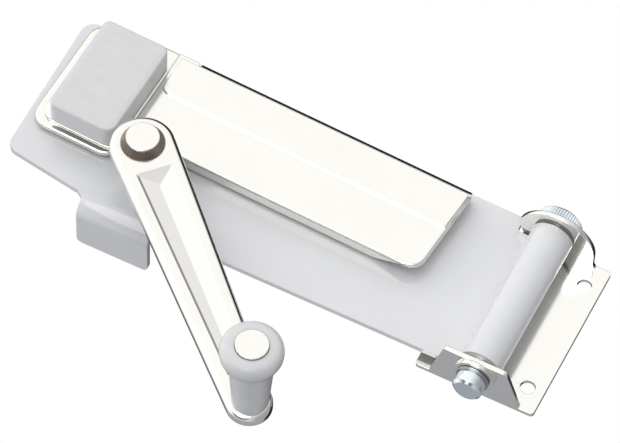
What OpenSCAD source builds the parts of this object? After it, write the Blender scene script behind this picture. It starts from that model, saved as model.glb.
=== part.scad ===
// Wall-mounted crank can opener: a swing-out steel body on a hinged wall bracket,
// shown folded parallel to its bracket.
//
// Frame: origin at the centre of the bracket's four screw holes, on the face that
// meets the wall. +Z is up along the hinge pin, -Y points out of the wall into the
// room, and the body reaches from the hinge towards -X.
// A "level" is a distance in front of the wall face, so a level L is at y = -L.

/* [Wall bracket] */
// Width of the wall plate
plate_w = 41.5; // [36:0.5:56]
// Height of the wall plate
plate_h = 60; // [50:0.5:75]
// Sheet thickness of the wall plate and its ears
plate_t = 1.6; // [1.2:0.1:2.2]
// Corner radius of the wall plate
plate_r = 1.2; // [0.5:0.1:3]
// Side-to-side distance of the screw holes
screw_dx = 30; // [24:0.5:34]
// Up-and-down distance of the screw holes
screw_dz = 42.8; // [34:0.2:48]
// Diameter of the screw holes
screw_d = 5; // [4:0.1:5.5]
// Reach of the upper ear in front of the wall face
ear_reach = 21.4; // [20:0.1:26]
// Half width of the upper ear
ear_half_w = 13.5; // [12:0.1:15]
// Sideways shift of the upper ear from the hinge pin
ear_shift = 0.9; // [0:0.1:1.5]
// Cut-back of the upper ear's left side where the body folds past it
ear_relief = 2.2; // [1:0.1:3]
// Reach of the lower ear in front of the wall face
lug_reach = 17.6; // [17:0.1:22]
// Half width of the lower ear at the wall plate
lug_base = 16.2; // [14:0.1:18]
// Half width of the lower ear at its free edge, on the left
lug_top = 11.5; // [8:0.1:13]
// Half width of the lower ear at its free edge, on the right
lug_top_right = 10.4; // [8:0.1:13]

/* [Hinge] */
// Distance of the hinge pin's axis from the wall face
axis_level = 11.2; // [10.6:0.1:14]
// Diameter of the hinge pin
pin_d = 10; // [8:0.1:11]
// Length of the pin below the lower ear
pin_tail = 7.3; // [6:0.1:12]
// Diameter of the pin's knurled head
pin_head_d = 14.8; // [13:0.1:18]
// Height of the pin's knurled head
pin_head_h = 5.6; // [4:0.1:8]
// Teeth around the knurled head
pin_knurls = 48; // [24:1:60]
// Running clearance of the pin, on the radius
pin_play = 0.05; // [0.03:0.01:0.1]
// Gap between the barrel's top end and the upper ear
barrel_top_gap = 0.8; // [0.3:0.1:2]
// Gap between the barrel's lower end and the lower ear
barrel_low_gap = 1.5; // [0.3:0.1:3]

/* [Body] */
// Sheet thickness of the body
body_t = 2; // [1.5:0.1:2.5]
// Distance from the hinge pin to the far end of the body
body_len = 173.8; // [160:0.5:215]
// Height of the body's top edge at the hinge end
body_top = 33; // [31:0.5:44]
// Height of the body's top edge at the far end
body_top_far = 36.5; // [36:0.5:45]
// Height of the body's lower edge at the far end
body_low_far = 20; // [18:0.5:24]
// Corner radius of the body's far end
body_r = 4.5; // [2:0.5:8]
// Width of the can guide tab
tab_w = 26; // [20:0.5:34]
// Depth of the tab behind the wall face
tab_depth = 14; // [8:0.5:20]
// Distance of the tab's outer face below the hinge centre
tab_low = 30.2; // [30:0.1:36]
// Outer radius of the tab's bend
tab_bend = 6; // [4:0.5:8]

/* [Crank] */
// Distance of the crank's axis from the hinge pin
crank_from_hinge = 128.5; // [120:0.1:160]
// Distance of the crank's axis below the hinge centre
crank_drop = 10.7; // [8:0.1:14]
// Centre distance from the shaft to the knob
crank_len = 102; // [80:1:125]
// Angle of the crank arm below the horizontal
crank_angle = 43.3; // [0:0.1:90]
// Radius of the arm's wide end
hub_r = 10.8; // [10:0.1:13]
// Radius of the arm's narrow end
tip_r = 7.5; // [7:0.1:9]
// Distance of the narrow end's centre from the knob, towards the shaft
tip_back = 0.9; // [0:0.1:1.5]
// Depth of the arm's turned-down edge
arm_depth = 4; // [3:0.1:6]
// Sheet thickness of the arm
arm_t = 1.4; // [1:0.1:1.8]
// Depth of the arm's pressed groove
groove_depth = 0.9; // [0.5:0.1:1.2]
// Diameter of the crank shaft
shaft_d = 8; // [6:0.1:9]
// Diameter of the shaft's threaded end
thread_d = 6; // [4:0.1:6.5]
// Diameter of the knurled nut at its base
nut_d = 15; // [13:0.1:17]
// Height of the knurled nut
nut_h = 3.6; // [3:0.1:6]
// Teeth around the nut
nut_knurls = 44; // [24:1:56]

/* [Knob] */
// Height of the knob
knob_h = 32.6; // [26:0.2:40]
// Diameter of the knob's round head
knob_head_d = 20.2; // [18:0.1:24]
// Diameter of the knob's shank under the head
knob_neck_d = 15; // [13:0.1:17]
// Diameter of the knob's foot
knob_foot_d = 12; // [11.5:0.1:14]
// Diameter of the stud that the knob turns on
stud_d = 6; // [4:0.1:7]
// Diameter of the stud's flat head
stud_head_d = 10.6; // [9:0.1:13]

/* [Lever] */
// Distance of the lever's pivot from the hinge pin
pivot_from_hinge = 152; // [148:0.1:190]
// Height of the lever's pivot above the hinge centre
pivot_up = 10.4; // [9:0.1:12]
// Tilt of the lever at rest, free end down
lever_tilt = 2.4; // [0:0.1:4]
// Angle through which the lever lifts
lever_lift = 55; // [20:1:55]
// Sheet thickness of the lever
lever_t = 1.4; // [1:0.1:1.6]
// Length of the lever from its pivot to its free end
lever_len = 121.7; // [100:0.5:145]
// Height of the lever's top edge above its pivot
lever_top = 25.6; // [24:0.1:27]
// Distance of the lever's lower edge below its pivot
lever_low = 10; // [9:0.1:12]
// Distance of the lever's face in front of the body
lever_gap = 6.35; // [6.2:0.05:8]
// Height of the pressed band along the lever's upper half
band_rise = 0.8; // [0.4:0.1:1]
// Height of the band's lower edge above the pivot
band_low = 8.8; // [6:0.1:12]
// Width of the lever's broad end left of the pivot
pad_left = 18.8; // [17:0.1:20]
// Distance of the broad end's lower edge below the pivot
pad_low = 20; // [19.8:0.1:21]

/* [Cap] */
// Width of the cap
cap_w = 24; // [20:0.5:26]
// Height of the cap along the body
cap_h = 38.4; // [34:0.2:40]
// Thickness of the cap
cap_t = 10; // [7:0.1:11]
// Corner radius of the cap
cap_r = 4.5; // [3:0.1:6]
// Wall thickness of the cap
cap_wall = 1.8; // [1.4:0.1:2.4]

/* [Cutter] */
// Radius of the feed wheel
feed_r = 9.5; // [8.5:0.1:11]
// Thickness of the feed wheel
feed_t = 4; // [3:0.1:5]
// Teeth around the feed wheel
feed_teeth = 22; // [16:1:30]
// Radius of the cutting wheel
cutter_r = 11.5; // [10:0.1:12.5]
// Thickness of the cutting wheel
cutter_t = 2.4; // [2:0.1:3]
// Overlap of the cutting edge and the feed wheel
cutter_overlap = 1; // [0.4:0.1:1.6]
// Diameter of the stud that carries the cutting wheel
cutter_stud_d = 6; // [5:0.1:7]

/* [Magnet] */
// Diameter of the lid magnet
magnet_d = 14; // [10:0.5:16]
// Thickness of the lid magnet
magnet_t = 5; // [3:0.5:7]
// Reach of the magnet's strap behind the wall face
strap_reach = 27; // [22:0.5:40]
// Width of the strap
strap_w = 14; // [14:0.5:18]

/* [Hidden] */
$fn = 64;

eps = 0.01;
// gap between flat faces of pieces that turn against each other
side_gap = 0.3;
// radial running clearance of the shaft, the studs and the wheels
run_play = 0.05;

// hinge
bore_r = pin_d / 2 + pin_play;
barrel_r = bore_r + body_t;
ear_inner = plate_h / 2 - plate_t;
barrel_top = ear_inner - barrel_top_gap;
barrel_low = ear_inner - barrel_low_gap;
ear_end_r = ear_half_w;
ear_left = ear_half_w - ear_shift;
ear_neck = ear_left - ear_relief;
notch_play = 0.5;
collar_h = 1.5;

// retaining ring in its groove
ring_t = 0.9;
ring_gap = 0.2;
ring_play = 0.02;
ring_groove = 0.9;
ring_z = -plate_h / 2 - collar_h - ring_gap;

// body levels and edges; the barrel stands a little behind the flat sheet
barrel_lip = 0.2;
body_back = axis_level - barrel_r + barrel_lip;
body_front = body_back + body_t;
tab_mid = crank_from_hinge + 1.3;
tab_flat = tab_low - tab_bend;
fillet_r = 3.5;

// lever levels, all measured from the wall face
lever_front = body_front + lever_gap;
lever_back = lever_front - lever_t;
pad_step = 1.7;
rim_front = lever_front - 2 * pad_step;
step_front = lever_front - pad_step;
cap_front = lever_front + cap_t;
pivot_x = -pivot_from_hinge;
pivot_z = pivot_up;
pivot_r = 4;
pad_right = cap_w / 2 - 1;

// crank levels
arm_front = cap_front + side_gap * 3 + arm_depth;
arm_back = arm_front - arm_t;
crank_x = -crank_from_hinge;
crank_z = -crank_drop;
bush_flange_t = 1;
bush_r = shaft_d / 2 + 1.6;
bush_flange_r = bush_r + 1.2;
feed_front = -4;
feed_back = feed_front - feed_t;

// cutter, straight above the feed wheel
cutter_dx = pivot_from_hinge - crank_from_hinge;
cutter_z = crank_z + feed_r + cutter_r - cutter_overlap;
cutter_dz = cutter_z - pivot_z;
cutter_arm = sqrt(cutter_dx * cutter_dx + cutter_dz * cutter_dz);
cutter_angle = atan2(cutter_dz, cutter_dx);
cutter_front = feed_back - side_gap;
cutter_back = cutter_front - cutter_t;
slot_r = cutter_stud_d / 2 + 0.8;

run_gap = 0.1;
screw_r = 1.5;
lock_t = 0.8;

// knob levels
knob_washer_t = 0.6;
stud_sink = 0.9;
knob_back = arm_front + knob_washer_t + 0.2;
knob_front = knob_back + knob_h;

// strap and magnet
strap_t = 1;
strap_x = crank_x + cutter_r + strap_w / 2 + 2;
strap_low = 14;
strap_high = 31;
rivet_r = 2;
rivet_head_r = 3.4;
magnet_y = strap_reach - magnet_d / 2 - 1;
strap_rivet_z = [strap_low + 5, strap_high - 4];

enamel = [0.90, 0.91, 0.92];
nickel = [0.80, 0.78, 0.74];
zinc = [0.70, 0.76, 0.80];
steel = [0.55, 0.56, 0.57];
plastic = [0.88, 0.88, 0.89];

// ---- outlines with rounded corners ----

function unit(v) = v / norm(v);
function turn(a) = a > 180 ? a - 360 : a < -180 ? a + 360 : a;

// arc of radius r that rounds the corner b between its neighbours a and c
function corner_arc(a, b, c, r, n = 8) =
    r <= 0 ? [b] :
    let (
        u = unit(a - b),
        v = unit(c - b),
        half = acos(u * v) / 2,
        centre = b + unit(u + v) * r / sin(half),
        p = b + u * r / tan(half) - centre,
        q = b + v * r / tan(half) - centre,
        from = atan2(p[1], p[0]),
        sweep = turn(atan2(q[1], q[0]) - from)
    )
    [for (i = [0:n]) centre + r * [cos(from + sweep * i / n), sin(from + sweep * i / n)]];

// closed outline from [x, y, corner radius] triples
function rounded_path(pts) =
    let (n = len(pts))
    [for (i = [0:n - 1])
        let (a = pts[(i + n - 1) % n], b = pts[i], c = pts[(i + 1) % n])
        each corner_arc([a[0], a[1]], [b[0], b[1]], [c[0], c[1]], b[2])];

// points along a round stretch, from one angle to another
function arc(centre, r, from, to, n = 24) =
    [for (i = [0:n]) let (a = from + (to - from) * i / n) centre + r * [cos(a), sin(a)]];

module outline(pts) {
    polygon(rounded_path(pts));
}

module rounded_box_2d(x0, x1, y0, y1, r) {
    outline([[x0, y0, r], [x1, y0, r], [x1, y1, r], [x0, y1, r]]);
}

// regular toothed disc outline with pointed teeth
module toothed(r, teeth, depth) {
    polygon([for (i = [0:2 * teeth - 1])
        let (q = i % 2 == 0 ? r : r - depth, a = 180 * i / teeth)
        q * [cos(a), sin(a)]]);
}

// ---- placing pieces by level ----

// flat stock in the XZ plane between two levels
module slab(front, back) {
    translate([0, -back, 0]) rotate([90, 0, 0]) linear_extrude(front - back) children();
}

// round bar along Y between two levels
module bar(front, back, r) {
    translate([0, -back, 0]) rotate([90, 0, 0]) cylinder(h = front - back, r = r);
}

// cone along Y between two levels
module taper(front, back, r_front, r_back) {
    translate([0, -back, 0]) rotate([90, 0, 0])
        cylinder(h = front - back, r1 = r_back, r2 = r_front);
}

module at_crank() {
    translate([crank_x, 0, crank_z]) children();
}

module at_knob() {
    at_crank() rotate([0, crank_angle, 0]) translate([crank_len, 0, 0]) children();
}

module at_lever() {
    translate([pivot_x, 0, pivot_z]) rotate([0, lever_tilt, 0]) children();
}

module at_cutter() {
    translate([crank_x, 0, cutter_z]) children();
}

// ---- bracket and hinge ----

// ear outline in X and -Y, before it is stood on the plate's edge
module upper_ear_2d() {
    flare = 1.6;
    round_mid = ear_reach - ear_end_r;
    difference() {
        union() {
            translate([ear_shift, -round_mid]) circle(r = ear_end_r);
            translate([ear_shift - ear_half_w, -round_mid]) square([2 * ear_half_w, round_mid]);
        }
        translate([0, -axis_level]) circle(r = bore_r);
        polygon([[-ear_neck, 1], [-ear_neck, -body_front], [-ear_left, -axis_level],
                 [-ear_left - 1, -axis_level], [-ear_left - 1, 1]]);
    }
    outline([[ear_shift - eps, 0, 0], [ear_shift + ear_half_w + flare, 0, 0],
             [ear_shift + ear_half_w - eps, -flare * 2, 0], [ear_shift - eps, -flare * 2, 0]]);
}

module lower_ear_2d() {
    difference() {
        outline([[-lug_base, 0, 0], [-lug_top, -lug_reach, 1],
                 [lug_top_right, -lug_reach, 2], [lug_base, 0, 0]]);
        translate([0, -axis_level]) circle(r = bore_r);
    }
}

module screw_holes() {
    for (x = [-screw_dx / 2, screw_dx / 2], z = [-screw_dz / 2, screw_dz / 2])
        translate([x, 0, z]) bar(plate_t + 1, -1, screw_d / 2);
}

module wall_bracket() {
    collar_r = bore_r + 1.9;
    color(nickel)
    difference() {
        union() {
            difference() {
                slab(plate_t, 0)
                    rounded_box_2d(-plate_w / 2, plate_w / 2, -plate_h / 2, plate_h / 2, plate_r);
                screw_holes();
            }
            translate([0, 0, ear_inner]) linear_extrude(plate_t) upper_ear_2d();
            translate([0, 0, -plate_h / 2]) linear_extrude(plate_t) lower_ear_2d();
            translate([0, -axis_level, -plate_h / 2 - collar_h]) cylinder(h = collar_h + eps, r = collar_r);
        }
        translate([0, -axis_level, -plate_h / 2 - collar_h - 1])
            cylinder(h = collar_h + plate_t + 2, r = bore_r);
    }
}

module hinge_pin() {
    shank_r = pin_d / 2;
    knurl = 0.45;
    rim_r = pin_head_d / 2 - knurl - 0.15;
    head_low = plate_h / 2;
    tail_end = -plate_h / 2 - pin_tail;
    bevel = 0.9;
    color(zinc)
    translate([0, -axis_level, 0])
    difference() {
        union() {
            translate([0, 0, head_low + bevel]) linear_extrude(pin_head_h - 2 * bevel)
                toothed(pin_head_d / 2, pin_knurls, knurl);
            translate([0, 0, head_low]) cylinder(h = bevel + eps, r1 = rim_r - bevel, r2 = rim_r);
            translate([0, 0, head_low + pin_head_h - bevel - eps])
                cylinder(h = bevel + eps, r1 = rim_r, r2 = rim_r - bevel);
            translate([0, 0, tail_end + bevel]) cylinder(h = head_low - tail_end - bevel + eps, r = shank_r);
            translate([0, 0, tail_end]) cylinder(h = bevel, r1 = shank_r - bevel, r2 = shank_r);
        }
        translate([0, 0, ring_z - ring_t - ring_play]) difference() {
            cylinder(h = ring_t + 2 * ring_play, r = shank_r + 1);
            translate([0, 0, -1]) cylinder(h = ring_t + 3, r = shank_r - ring_groove);
        }
    }
}

module pin_retaining_ring() {
    color(steel)
    translate([0, -axis_level, ring_z - ring_t])
    difference() {
        cylinder(h = ring_t, r = pin_d / 2 + 0.6);
        translate([0, 0, -1]) cylinder(h = ring_t + 2, r = pin_d / 2 - ring_groove);
        translate([-1.2, 0, -1]) cube([2.4, pin_d, ring_t + 2]);
    }
}

// ---- body ----

// flat part of the body, seen from the room; the ear's sweep sets the notch
module body_outline_2d() {
    ear_sweep = max(norm([ear_neck, axis_level - body_back]), ear_left) + notch_play;
    notch_x = sqrt(ear_sweep * ear_sweep - bore_r * bore_r);
    tab_l = -tab_mid - tab_w / 2;
    tab_r = -tab_mid + tab_w / 2;
    outline([
        [-body_len, body_top_far, body_r],
        [-notch_x, body_top, 0.8],
        [-notch_x, barrel_top, 1],
        [0, barrel_top, 0],
        [0, -barrel_low, 0],
        [tab_r + 18, -barrel_low, 8],
        [tab_r + 7, -tab_flat, 8],
        [tab_l - fillet_r, -tab_flat, 0],
        [-body_len, -body_low_far, body_r]
    ]);
}

// bent tab's section in Y (first) and Z
module tab_section_2d() {
    difference() {
        translate([-body_front + tab_bend, -tab_flat]) circle(r = tab_bend);
        translate([-body_front + tab_bend, -tab_flat]) circle(r = tab_bend - body_t);
        translate([-body_front + tab_bend, -tab_low - 1]) square([2 * tab_bend, 2 * tab_low]);
        translate([-body_front - 1, -tab_flat]) square([2 * tab_bend, tab_low]);
    }
    translate([-body_front + tab_bend - eps, -tab_low])
        square([tab_depth + body_front - tab_bend + eps, body_t]);
}

module along_x(x0, x1) {
    translate([x0, 0, 0]) rotate([90, 0, 90]) linear_extrude(x1 - x0) children();
}

module tab() {
    x0 = -tab_mid - tab_w / 2;
    x1 = -tab_mid + tab_w / 2;
    intersection() {
        along_x(x0, x1) tab_section_2d();
        translate([0, 0, -tab_low - 1]) linear_extrude(tab_low)
            outline([[x0, tab_depth, 2], [x1, tab_depth, 2],
                     [x1, -body_front - 1, 0], [x0, -body_front - 1, 0]]);
    }
    for (side = [-1, 1])
        intersection() {
            along_x(side < 0 ? x0 - fillet_r : x1 - eps, side < 0 ? x0 + eps : x1 + fillet_r)
                tab_section_2d();
            slab(body_front + 1, -tab_bend) difference() {
                translate([-tab_mid - tab_w / 2 - fillet_r, -tab_flat - fillet_r])
                    square([tab_w + 2 * fillet_r, fillet_r + eps]);
                translate([-tab_mid + side * (tab_w / 2 + fillet_r), -tab_flat - fillet_r])
                    circle(r = fillet_r);
            }
        }
}

// curved slot that the cutter's stud moves along as the lever lifts
module stud_slot_2d() {
    low = cutter_angle;
    high = cutter_angle + lever_lift;
    low_end = cutter_arm * [cos(low), sin(low)];
    high_end = cutter_arm * [cos(high), sin(high)];
    polygon(concat(
        arc([0, 0], cutter_arm + slot_r, low, high),
        arc(high_end, slot_r, high + 8, high + 172),
        arc([0, 0], cutter_arm - slot_r, high, low),
        arc(low_end, slot_r, low + 188, low + 352)
    ));
}

module body_frame() {
    seam = 0.35;
    color(enamel)
    difference() {
        union() {
            slab(body_front, body_back) body_outline_2d();
            tab();
            translate([0, -axis_level, -barrel_low]) cylinder(h = barrel_top + barrel_low, r = barrel_r);
        }
        translate([0, -axis_level, -barrel_low - 1]) cylinder(h = barrel_top + barrel_low + 2, r = bore_r);
        translate([-barrel_r - 1, -body_front - seam, -barrel_low - 1])
            cube([barrel_r + 1, seam, barrel_top + barrel_low + 2]);
        at_crank() bar(body_front + 1, body_back - 1, bush_r);
        translate([pivot_x, 0, pivot_z]) bar(body_front + 1, body_back - 1, pivot_r);
        translate([pivot_x, 0, pivot_z]) slab(body_front + 1, body_back - 1) stud_slot_2d();
        for (z = strap_rivet_z) translate([strap_x, 0, z]) bar(body_front + 1, body_back - 1, rivet_r);
    }
}

module shaft_bushing() {
    boss_back = feed_front + side_gap;
    color(steel)
    at_crank() difference() {
        union() {
            bar(body_front + bush_flange_t, body_front, bush_flange_r);
            bar(body_front, boss_back, bush_r);
            bar(body_back, body_back - bush_flange_t, bush_flange_r);
        }
        bar(body_front + bush_flange_t + 1, boss_back - 1, shaft_d / 2 + run_play);
    }
}

module lever_pivot_stud() {
    head_r = pivot_r + 3;
    color(steel)
    translate([pivot_x, 0, pivot_z]) {
        bar(lever_front + side_gap, body_back - 1, pivot_r);
        bar(lever_front + side_gap + 1.6, lever_front + side_gap, head_r);
        bar(body_back - 1, body_back - 2.2, head_r - 1.2);
    }
}

module washer(front, back, r_out, r_in) {
    difference() {
        bar(front, back, r_out);
        bar(front + 1, back - 1, r_in);
    }
}

module pivot_back_washer() {
    color(zinc) translate([pivot_x, 0, pivot_z]) washer(body_back, body_back - 1, pivot_r + 3.4, pivot_r);
}

// ---- lid magnet ----

module magnet_strap() {
    color(nickel)
    difference() {
        union() {
            slab(body_back, body_back - strap_t)
                rounded_box_2d(strap_x - strap_w / 2, strap_x + strap_w / 2, strap_low, strap_high, 2);
            translate([0, 0, strap_low]) linear_extrude(strap_t)
                outline([[strap_x - strap_w / 2, -body_back, 0], [strap_x + strap_w / 2, -body_back, 0],
                         [strap_x + strap_w / 2, strap_reach, strap_w / 2 - 0.1],
                         [strap_x - strap_w / 2, strap_reach, strap_w / 2 - 0.1]]);
        }
        for (z = strap_rivet_z)
            translate([strap_x, 0, z]) bar(body_back + 1, body_back - strap_t - 1, rivet_r);
        translate([strap_x, magnet_y, strap_low - 1]) cylinder(h = strap_t + 2, r = rivet_r);
    }
}

module lid_magnet() {
    color(steel)
    translate([strap_x, magnet_y, strap_low - magnet_t]) difference() {
        cylinder(h = magnet_t, r = magnet_d / 2);
        translate([0, 0, -1]) cylinder(h = magnet_t + 2, r = rivet_r);
        translate([0, 0, -eps]) cylinder(h = 1.2, r = rivet_head_r);
    }
}

module magnet_rivet() {
    color(zinc)
    translate([strap_x, magnet_y, 0]) {
        translate([0, 0, strap_low - magnet_t + 0.2]) cylinder(h = 1 - eps, r = rivet_head_r - 0.2);
        translate([0, 0, strap_low - magnet_t + 0.2]) cylinder(h = magnet_t + strap_t - 0.2, r = rivet_r);
        translate([0, 0, strap_low + strap_t]) cylinder(h = 1, r = rivet_head_r);
    }
}

module strap_rivets() {
    color(zinc)
    for (z = strap_rivet_z) translate([strap_x, 0, z]) {
        bar(body_front, body_back - strap_t, rivet_r);
        bar(body_back - strap_t, body_back - strap_t - 1.2, rivet_head_r);
        bar(body_front + 0.6, body_front, rivet_head_r);
    }
}

// ---- lever, drawn about its pivot ----

// right-hand part of the lever: main face
module lever_face_2d(inset = 0) {
    slant = 1.8;
    outline([
        [-cap_w / 2, lever_top - inset, 0],
        [lever_len - inset, lever_top - inset, 1.5],
        [lever_len - slant - inset, -lever_low + inset, 5],
        [-cap_w / 2, -lever_low + inset, 0]
    ]);
}

// broad end of the lever, whose left and lower edges step up to the main face
module pad_2d(inset) {
    rounded_box_2d(-pad_left + inset, pad_right, -pad_low + inset, lever_top - 0.7, 6 - inset / 2);
}

module lever() {
    rim = 2.6;
    flange_end = body_front + 0.9;
    flange_from = cap_w / 2 + 8;
    color(nickel)
    at_lever() difference() {
        union() {
            slab(lever_front, lever_back) lever_face_2d();
            slab(lever_front + band_rise, lever_front - eps) intersection() {
                lever_face_2d(0.6);
                outline([[cap_w / 2 + 1.2, band_low, 3], [lever_len, band_low - 0.6, 0],
                         [lever_len, lever_top, 0], [cap_w / 2 + 1.2, lever_top, 0]]);
            }
            slab(lever_front, flange_end) difference() {
                lever_face_2d();
                lever_face_2d(lever_t);
                translate([-cap_w, -lever_low - 1]) square([cap_w + flange_from, lever_top + lever_low + 2]);
                translate([lever_len - 4, -lever_low - 1]) square([10, lever_top + lever_low + 2]);
            }
            slab(rim_front, rim_front - lever_t) pad_2d(0);
            slab(step_front, rim_front - eps) pad_2d(rim);
            slab(lever_front, step_front - eps) pad_2d(2 * rim);
        }
        slab(rim_front - lever_t + pad_step, rim_front - lever_t - 1) pad_2d(rim + lever_t);
        slab(rim_front - lever_t + 2 * pad_step, rim_front - lever_t - 1) pad_2d(2 * rim + lever_t);
        bar(lever_front + 1, lever_back - 6, pivot_r + run_play);
    }
}

module pivot_spacer() {
    color(steel)
    translate([pivot_x, 0, pivot_z]) washer(lever_back - side_gap, body_front, pivot_r + 3, pivot_r);
}

module lever_cap() {
    edge = 1.2;
    floor_t = 2;
    color(plastic)
    at_lever() difference() {
        union() {
            slab(cap_front - edge, lever_front)
                rounded_box_2d(-cap_w / 2, cap_w / 2, -cap_h / 2, cap_h / 2, cap_r);
            slab(cap_front, cap_front - edge - eps)
                rounded_box_2d(-cap_w / 2 + edge, cap_w / 2 - edge,
                               -cap_h / 2 + edge, cap_h / 2 - edge, cap_r - edge);
        }
        slab(cap_front - floor_t, lever_front - 1)
            rounded_box_2d(-cap_w / 2 + cap_wall, cap_w / 2 - cap_wall,
                           -cap_h / 2 + cap_wall, cap_h / 2 - cap_wall, cap_r - cap_wall);
    }
}

// ---- cutting wheel, carried by the lever ----

module cutter_stud() {
    color(steel)
    at_cutter() difference() {
        union() {
            bar(lever_back, lever_back - 1.2, cutter_stud_d / 2 + 2.5);
            bar(lever_back - 1.2 + eps, cutter_back - run_gap, cutter_stud_d / 2);
        }
        bar(cutter_back + 6, cutter_back - run_gap - 1, screw_r);
    }
}

module cutter_sleeve() {
    color(zinc)
    at_cutter()
        washer(body_back - side_gap, cutter_front + run_gap, cutter_stud_d / 2 + 1.6, cutter_stud_d / 2);
}

module cutter_wheel() {
    bevel = 2.6;
    color(steel)
    at_cutter() difference() {
        union() {
            bar(cutter_front, cutter_front - cutter_t / 4, cutter_r);
            taper(cutter_front - cutter_t / 4, cutter_back, cutter_r, cutter_r - bevel);
        }
        bar(cutter_front + 1, cutter_back - 1, cutter_stud_d / 2 + run_play);
    }
}

module cutter_screw() {
    head_t = 1.6;
    slot_w = 1.2;
    color(zinc)
    at_cutter() difference() {
        union() {
            bar(cutter_back + 6, cutter_back - run_gap, screw_r);
            bar(cutter_back - run_gap, cutter_back - run_gap - head_t, cutter_stud_d / 2 + 1.5);
        }
        translate([-cutter_stud_d, -cutter_back + run_gap + head_t - 0.7, -slot_w / 2])
            cube([2 * cutter_stud_d, 2, slot_w]);
    }
}

// ---- crank ----

module crank_shaft() {
    color(steel)
    at_crank() {
        bar(arm_back, feed_front, shaft_d / 2);
        bar(arm_front + nut_h - 1, arm_back - eps, thread_d / 2);
        bar(feed_front + eps, feed_back - 2.2, thread_d / 2);
    }
}

module shaft_sleeve() {
    color(zinc)
    at_crank() washer(arm_back - lock_t, body_front + bush_flange_t + side_gap, shaft_d / 2 + 2, shaft_d / 2);
}

module crank_lock_washer() {
    color(steel)
    at_crank() washer(arm_back, arm_back - lock_t, shaft_d / 2 + 2.4, shaft_d / 2);
}

module feed_wheel() {
    tooth = 1.3;
    hub = 1;
    color(steel)
    at_crank() difference() {
        union() {
            slab(feed_front - hub, feed_back) toothed(feed_r, feed_teeth, tooth);
            bar(feed_front, feed_front - hub - eps, feed_r - 2 * tooth);
        }
        bar(feed_front + 1, feed_back - 1, thread_d / 2);
    }
}

module feed_wheel_nut() {
    color(zinc)
    at_crank() difference() {
        slab(feed_back, feed_back - 2.4) circle(r = thread_d / 2 + 2.4, $fn = 6);
        bar(feed_back + 1, feed_back - 4, thread_d / 2);
    }
}

// arm outline about the shaft: two round ends and their common tangents
module arm_2d(inset) {
    big = hub_r - inset;
    small = tip_r - inset;
    tip_x = crank_len - tip_back;
    lean = asin((big - small) / tip_x);
    polygon(concat(arc([0, 0], big, 90 - lean, 270 + lean), arc([tip_x, 0], small, lean - 90, 90 - lean)));
}

module crank_arm() {
    groove_from = nut_d / 2 + 3.3;
    groove_to = crank_len - knob_foot_d / 2 - 3.5;
    groove_wide = hub_r - 4.7;
    groove_narrow = tip_r - 4.2;
    color(nickel)
    at_crank() rotate([0, crank_angle, 0]) difference() {
        slab(arm_front, arm_front - arm_depth) arm_2d(0);
        slab(arm_back, arm_front - arm_depth - 1) arm_2d(arm_t);
        slab(arm_front + 1, arm_front - groove_depth) outline([
            [groove_from, -groove_wide, 0.8],
            [groove_to, -groove_narrow, 0.8],
            [groove_to, groove_narrow, 0.8],
            [groove_from, groove_wide, 0.8]
        ]);
        bar(arm_front + 1, arm_back - 1, thread_d / 2);
        translate([crank_len, 0, 0]) bar(arm_front + 1, arm_back - 1, stud_d / 2);
    }
}

module crank_nut() {
    top_r = nut_d / 2 - 1.4;
    skirt = nut_h - 1.2;
    knurl = 0.4;
    color(nickel)
    at_crank() difference() {
        union() {
            slab(arm_front + skirt, arm_front) toothed(nut_d / 2, nut_knurls, knurl);
            taper(arm_front + nut_h, arm_front + skirt - eps, top_r, nut_d / 2 - knurl - 0.1);
        }
        bar(arm_front + nut_h - 1, arm_front - 1, thread_d / 2);
    }
}

// ---- knob ----

module knob_stud() {
    color(nickel)
    at_knob() {
        bar(knob_front + 0.7, knob_front - stud_sink, stud_head_d / 2);
        bar(knob_front - stud_sink + eps, arm_back - 1.2, stud_d / 2);
        bar(arm_back, arm_back - 1.2, stud_d / 2 + 1.5);
    }
}

module knob_washer() {
    color(zinc)
    at_knob() washer(arm_front + knob_washer_t, arm_front, stud_d / 2 + 2.4, stud_d / 2);
}

module crank_knob() {
    neck_h = knob_h * 0.68;
    belly_h = knob_h * 0.85;
    bore = stud_d / 2 + run_play;
    color(plastic)
    at_knob() translate([0, -knob_back, 0]) rotate([90, 0, 0]) difference() {
        rotate_extrude() outline([
            [0, 0, 0],
            [knob_foot_d / 2, 0, 1],
            [knob_neck_d / 2, neck_h, 5],
            [knob_head_d / 2, belly_h, 3],
            [knob_head_d / 2, knob_h, 3.2],
            [0, knob_h, 0]
        ]);
        translate([0, 0, -1]) cylinder(h = knob_h + 2, r = bore);
        translate([0, 0, knob_h - stud_sink - side_gap]) cylinder(h = 5, r = stud_head_d / 2 + side_gap);
    }
}

wall_bracket();
hinge_pin();
pin_retaining_ring();
body_frame();
shaft_bushing();
lever_pivot_stud();
pivot_spacer();
pivot_back_washer();
magnet_strap();
lid_magnet();
strap_rivets();
magnet_rivet();
lever();
lever_cap();
cutter_stud();
cutter_sleeve();
cutter_wheel();
cutter_screw();
crank_shaft();
shaft_sleeve();
feed_wheel();
feed_wheel_nut();
crank_lock_washer();
crank_arm();
crank_nut();
knob_stud();
knob_washer();
crank_knob();
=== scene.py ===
"""Looks of a wall-mounted crank can opener: finishes, formed edges, light and camera.

Lengths in the part classes are millimetres about the part's own axis; they become
metres when a form is turned into a piece. A level is a distance in front of the wall.
"""

import logging
import math
from dataclasses import dataclass, field
from enum import Enum
from typing import Callable, Iterable, Sequence

import bmesh
import bpy
from mathutils import Matrix, Vector


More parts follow.
